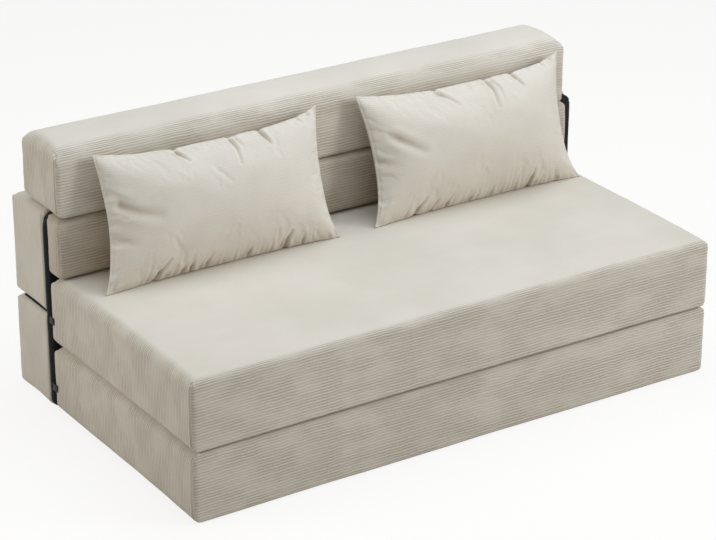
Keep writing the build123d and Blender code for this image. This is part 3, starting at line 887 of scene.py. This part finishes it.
for body in ("lower_seat", "upper_seat"):
    tabs(body + "_webbing", body + "_tabs", body)


# ---- zips

# Half the tape's width, and the coil's half width and distance from tooth to tooth
tape_half, coil_half, tooth = 0.009, 0.00245, 0.003
# The lips beside the coil: their middle, half width and half height, and where the stitches lie
lip_place, lip_half, lip_tall, stitch_place = 0.0105, 0.0026, 0.0013, 0.0076
# Stitches: distance from one to the next, the share that shows, and half their thickness
stitch_step, stitch_share, stitch_half = 0.0042, 0.72, 0.00042


def zip_of(node, body, rear_round):
    """A coil zip on a cover's lower rear round: a woven tape between two cloth lips, a row of
    stitches along each lip, and the coil, whose height is a cosine along the zip with its two
    halves half a tooth apart."""
    cover_low, cover_high = corners_of(node + "_cover")
    left, right = (corner[0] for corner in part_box(node + "_zip"))
    middle = np.array([cover_high[1] - rear_round, cover_low[2] + rear_round])
    out = np.array([1, -1]) / math.sqrt(2)
    side = np.array([1, 1]) / math.sqrt(2)

    def at(width, lift):
        """A place on the round: a distance round it from the zip's middle, and one out of it."""
        angle = np.asarray(width) / rear_round
        radius = rear_round + np.asarray(lift)
        away, round_it = np.cos(angle) * radius, np.sin(angle) * radius
        return middle + away[..., None] * out + round_it[..., None] * side

    spread = np.linspace(-tape_half, tape_half, 9)
    outline = np.concatenate([at(spread, spread * 0 + 0.0009), at(spread[::-1], spread * 0 + 0.0001)])
    sweep = swept(outline, np.linspace(left, right, 90))
    tape = make_object(node + "_zip_tape", *sweep, ZIP_TAPE)
    belongs(tape, body, "zip_chain", node + "_zip")

    xs = np.arange(left, right, tooth / 3)
    profile = np.linspace(-1, 1, 9)
    width = profile * coil_half
    half_turn = np.where(profile < 0, 0, math.pi) + np.where(profile == 0, math.pi / 2, 0)
    dome = np.sqrt(np.maximum(1 - profile ** 2 * 0.96, 0))
    swing = 0.5 + 0.5 * np.cos(xs[:, None] / tooth * TURN + half_turn[None, :])
    lift = 0.0008 + dome[None, :] * (0.0011 + 0.0009 * swing)
    edge = at(np.broadcast_to(width, lift.shape), lift)
    foot = np.broadcast_to(at(width[::-1], width * 0 + 0.0004), edge.shape)
    coil = make_object(node + "_zip_coil", *swept(np.concatenate([edge, foot], 1), xs), ZIP_COIL)
    belongs(coil, body, "zip_chain")

    ends = np.linspace(left - 0.006, right + 0.006, 120)
    angle = np.linspace(0, TURN, 12, endpoint=False)
    for word, sign in (("lower", -1), ("upper", 1)):
        ring = at(sign * lip_place + np.cos(angle) * lip_half, 0.0007 + np.sin(angle) * lip_tall)
        belongs(make_object(node + "_zip_lip_" + word, *swept(ring, ends), BEIGE), body, "corduroy")
        stitch_line(node + "_zip_stitches_" + word, body, ends[0], ends[-1],
                    at(sign * stitch_place, 0.00105))


def stitch_line(name, body, left, right, middle):
    """A row of stitches: each a small spindle whose thickness is a half circle along its length."""
    starts = np.arange(left + stitch_step, right - stitch_step, stitch_step)
    along = np.linspace(-0.5, 0.5, 5)
    around = np.linspace(0, TURN, 4, endpoint=False)
    thick = stitch_half * np.sqrt(np.maximum(1 - (along * 2) ** 2, 0.04))
    x = starts[:, None, None] + (along * stitch_step * stitch_share)[None, :, None]
    y, z = (middle[n] + turn * thick[None, :, None]
            for n, turn in enumerate((np.cos(around), np.sin(around))))
    points = np.stack(np.broadcast_arrays(x, y, z), -1).reshape(-1, 3)
    number = np.arange(20).reshape(5, 4)
    ring = np.roll(number, -1, axis=1)
    quads = np.stack([number[:-1], ring[:-1], ring[1:], number[1:]], -1).reshape(-1, 4)
    quads = np.concatenate([quads, number[:1, ::-1], number[-1:]])
    quads = (quads[None] + (np.arange(len(starts)) * 20)[:, None, None]).reshape(-1, 4)
    belongs(make_object(name, points, quads, None, THREAD), body, "corduroy")


for node, body, rear_round in (("lower_seat", "lower_seat", 0.040), ("upper_seat", "upper_seat", 0.040),
                               ("lower_back", "back", 0.038), ("upper_back", "back", 0.038),
                               ("bolster", "bolster", 0.032)):
    zip_of(node, body, rear_round)
    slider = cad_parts[node + "_zip_slider"]
    slider.data.materials.clear()
    slider.data.materials.append(ZIP_METAL)


# ---- camera, floor and light

def softbox(name, place, aim, size, power, colour):
    """A rectangular lamp that faces the place it is aimed at."""
    data = bpy.data.lights.new(name, "AREA")
    data.shape = "RECTANGLE"
    data.size, data.size_y = size
    data.energy = power
    data.color = colour
    lamp = bpy.data.objects.new(name, data)
    lamp.location = place
    lamp.rotation_euler = (Vector(aim) - Vector(place)).to_track_quat("-Z", "Y").to_euler()
    bpy.context.scene.collection.objects.link(lamp)


def studio():
    """Camera at the photograph's place, a pale floor, soft lamps from above, right and left."""
    scene = bpy.context.scene
    cam_data = bpy.data.cameras.new("camera")
    cam_data.sensor_width = 36.0
    cam_data.lens = 134.95
    cam_data.clip_end = 100
    cam = bpy.data.objects.new("camera", cam_data)
    cam.location = (-3.4289, -5.2421, 3.0782)
    cam.rotation_euler = (math.radians(66.005), 0, math.radians(-32.76))
    scene.collection.objects.link(cam)
    scene.camera = cam

    s = Shader("pale_floor")
    matt = s.node("BsdfDiffuse", None, {"Color": (0.62, 0.61, 0.59, 1)})
    white = s.node("BsdfDiffuse", None, {"Color": (0.70, 0.665, 0.61, 1)})
    glow = s.node("Emission", None, {"Color": (1, 1, 1, 1), "Strength": 1.08})
    shown = s.node("MixShader", None, {0: 0.78, 1: white, 2: glow})
    s.node("OutputMaterial", None, {0: s.node("MixShader", None, {0: s.seen(), 1: matt, 2: shown})})
    angle = np.linspace(0, TURN, 96, endpoint=False)
    rim = np.stack([np.cos(angle) * 9, np.sin(angle) * 9, angle * 0 - 0.0002], 1)
    make_object("floor", rim, [range(96)], None, s.owner, smooth=False)

    softbox("top_softbox", (0.3, -0.1, 3.4), (0.0, 0.0, 0.4), (3.4, 2.6), 79.5, (0.775, 0.875, 1.0))
    softbox("right_softbox", (4.9, -4.7, 2.9), (0.0, 0, 0.3), (2.4, 2.4), 216, (0.946, 0.966, 1.0))
    softbox("left_softbox", (-4.3, 1.4, 1.9), (0, 0.2, 0.3), (2.2, 2.2), 60, (0.965, 0.965, 0.955))

    w = Shader("studio", bpy.data.worlds)
    scene.world = w.owner
    ambient = w.node("Background", None, {0: (1.0, 0.957, 0.885, 1), 1: 0.308})
    backdrop = w.node("Background", None, {0: (0.975, 0.975, 0.975, 1), 1: 1.0})
    w.node("OutputWorld", None, {0: w.node("MixShader", None, {0: w.seen(), 1: ambient, 2: backdrop})})
    scene.view_settings.view_transform = "Standard"


studio()
